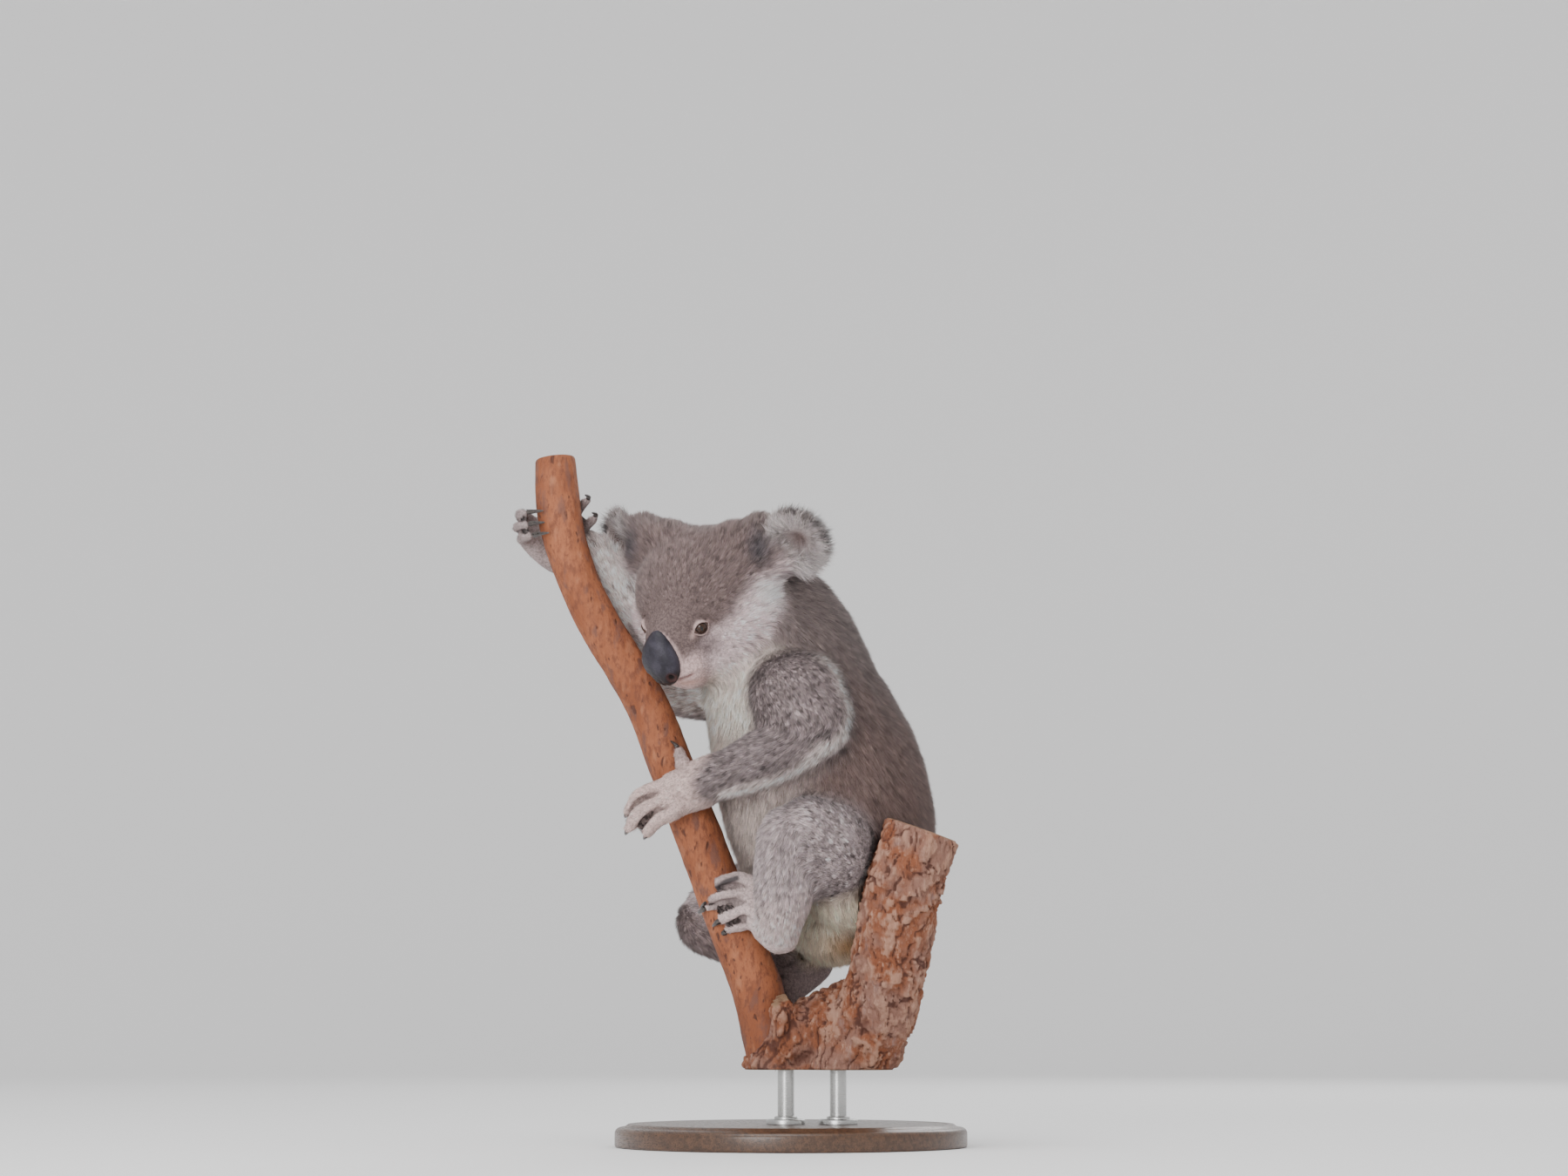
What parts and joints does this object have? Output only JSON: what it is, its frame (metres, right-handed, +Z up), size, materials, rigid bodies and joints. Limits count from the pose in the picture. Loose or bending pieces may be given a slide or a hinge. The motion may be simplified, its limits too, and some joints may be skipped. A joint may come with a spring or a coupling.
{
  "type": "koala model",
  "caption": "Life-size koala clinging upright to a slim branch in the fork of a cut tree stem, on a round display stand.",
  "frame": {"origin": "centre of the underside of the stand's round base", "axes": "+Z up, +Y behind the koala and -Y where its body faces, +X to the koala's left"},
  "size_m": [0.34, 0.4351, 0.6705],
  "materials": {
    "grey_fur": "matt speckled brown-grey fur",
    "pale_fur": "matt whitish fur",
    "nose_leather": "satin slate-black bare skin",
    "claw_horn": "polished dark horn",
    "eye": "wet brown eye with a dark pupil",
    "smooth_bark": "smooth tan-orange bark with dark flecks",
    "rough_bark": "rough pinkish-brown bark",
    "stand_timber": "satin dark turned timber",
    "stand_steel": "brushed steel rod"
  },
  "bodies": {
    "root": {"stand_base": "stand_timber", "stand_rod_front": "stand_steel", "stand_rod_back": "stand_steel", "perch_branch": "smooth_bark", "perch_fork": "rough_bark", "eye_left": "eye", "eye_right": "eye", "nose_pad": "nose_leather", "trunk": "grey_fur", "neck": "grey_fur", "head": "grey_fur", "ear_left": "pale_fur", "ear_right": "pale_fur", "upper_arm_left": "grey_fur", "upper_arm_right": "grey_fur", "forearm_left": "grey_fur", "forearm_right": "grey_fur", "thigh_left": "grey_fur", "thigh_right": "grey_fur", "shin_left": "grey_fur", "shin_right": "grey_fur", "hand_left": "pale_fur", "hand_right": "pale_fur", "foot_left": "pale_fur", "foot_right": "pale_fur", "claw_hand_left_1": "claw_horn", "claw_hand_left_2": "claw_horn", "claw_hand_left_3": "claw_horn", "claw_hand_left_4": "claw_horn", "claw_hand_left_5": "claw_horn", "claw_hand_right_1": "claw_horn", "claw_hand_right_2": "claw_horn", "claw_hand_right_3": "claw_horn", "claw_hand_right_4": "claw_horn", "claw_hand_right_5": "claw_horn", "claw_foot_left_2": "claw_horn", "claw_foot_left_3": "claw_horn", "claw_foot_left_4": "claw_horn", "claw_foot_left_5": "claw_horn", "claw_foot_right_2": "claw_horn", "claw_foot_right_3": "claw_horn", "claw_foot_right_4": "claw_horn", "claw_foot_right_5": "claw_horn"}
  },
  "joints": []
}
